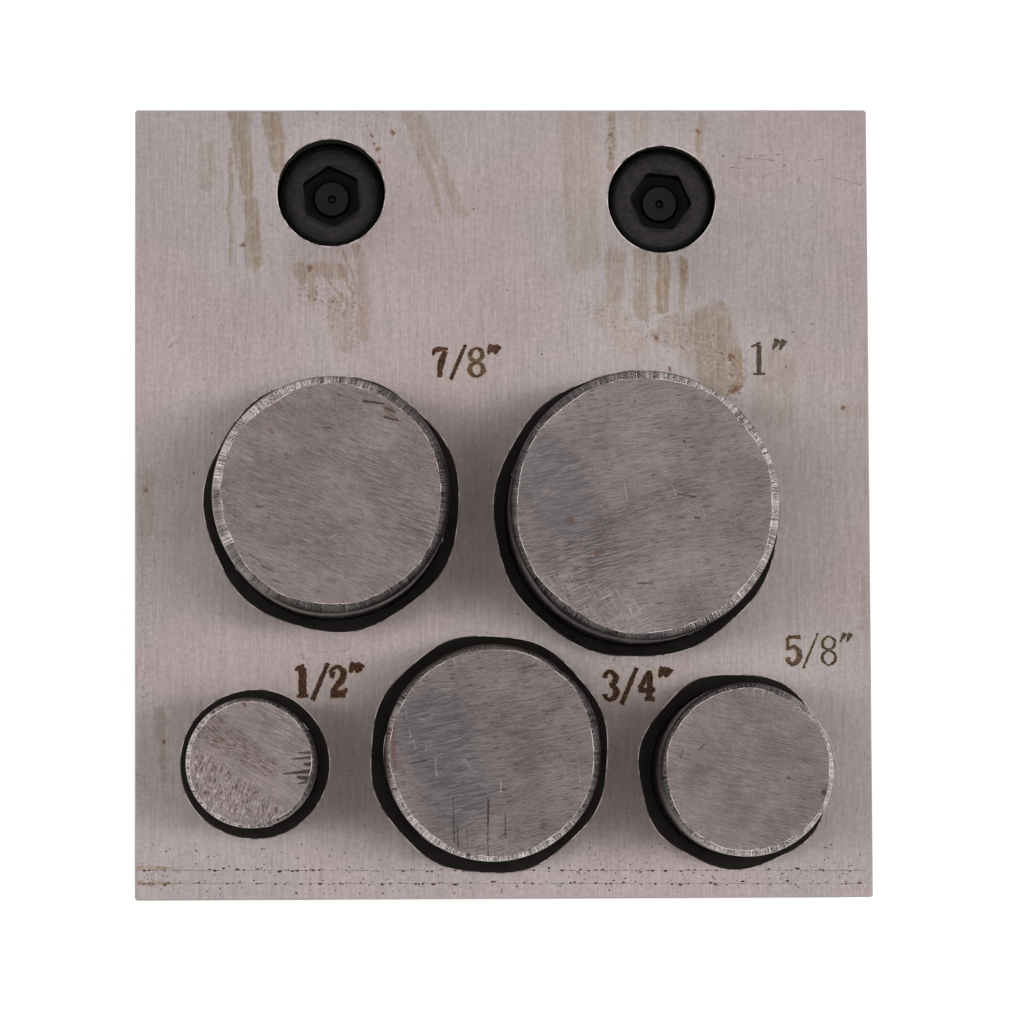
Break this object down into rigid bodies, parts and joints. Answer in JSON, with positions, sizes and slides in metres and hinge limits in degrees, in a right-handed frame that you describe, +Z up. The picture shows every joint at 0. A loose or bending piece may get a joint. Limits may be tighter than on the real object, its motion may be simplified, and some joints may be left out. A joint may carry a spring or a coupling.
{
  "type": "jewelers disc cutter",
  "caption": "Two-plate steel disc cutter for sheet metal, with a thin sheet slot between the plates and plain round punches that stand in guide bores of graded sizes.",
  "frame": {"origin": "centre of the base, on the surface that the cutter stands on", "axes": "+X to the user's right, +Y to the back edge where the screws are, +Z up along the punches"},
  "size_m": [0.07, 0.0754, 0.04],
  "materials": {
    "ground_steel": "satin",
    "punch_steel": "satin",
    "black_oxide_steel": "satin",
    "dowel_steel": "polished"
  },
  "bodies": {
    "block": {"guide_plate": "ground_steel", "die_plate": "ground_steel", "spacer_strip": "ground_steel", "left_cap_screw": "black_oxide_steel", "right_cap_screw": "black_oxide_steel", "left_dowel_pin": "dowel_steel", "right_dowel_pin": "dowel_steel"},
    "half_inch_punch": {"half_inch_punch": "punch_steel"},
    "five_eighths_punch": {"five_eighths_punch": "punch_steel"},
    "three_quarter_punch": {"three_quarter_punch": "punch_steel"},
    "seven_eighths_punch": {"seven_eighths_punch": "punch_steel"},
    "one_inch_punch": {"one_inch_punch": "punch_steel"}
  },
  "joints": [
    {"name": "half_inch_lift", "type": "slide", "parent": "block", "child": "half_inch_punch", "axis": [0, 0, 1], "range_m": [0, 0.03]},
    {"name": "five_eighths_lift", "type": "slide", "parent": "block", "child": "five_eighths_punch", "axis": [0, 0, 1], "range_m": [0, 0.03]},
    {"name": "three_quarter_lift", "type": "slide", "parent": "block", "child": "three_quarter_punch", "axis": [0, 0, 1], "range_m": [0, 0.03]},
    {"name": "seven_eighths_lift", "type": "slide", "parent": "block", "child": "seven_eighths_punch", "axis": [0, 0, 1], "range_m": [0, 0.03]},
    {"name": "one_inch_lift", "type": "slide", "parent": "block", "child": "one_inch_punch", "axis": [0, 0, 1], "range_m": [0, 0.03]}
  ]
}
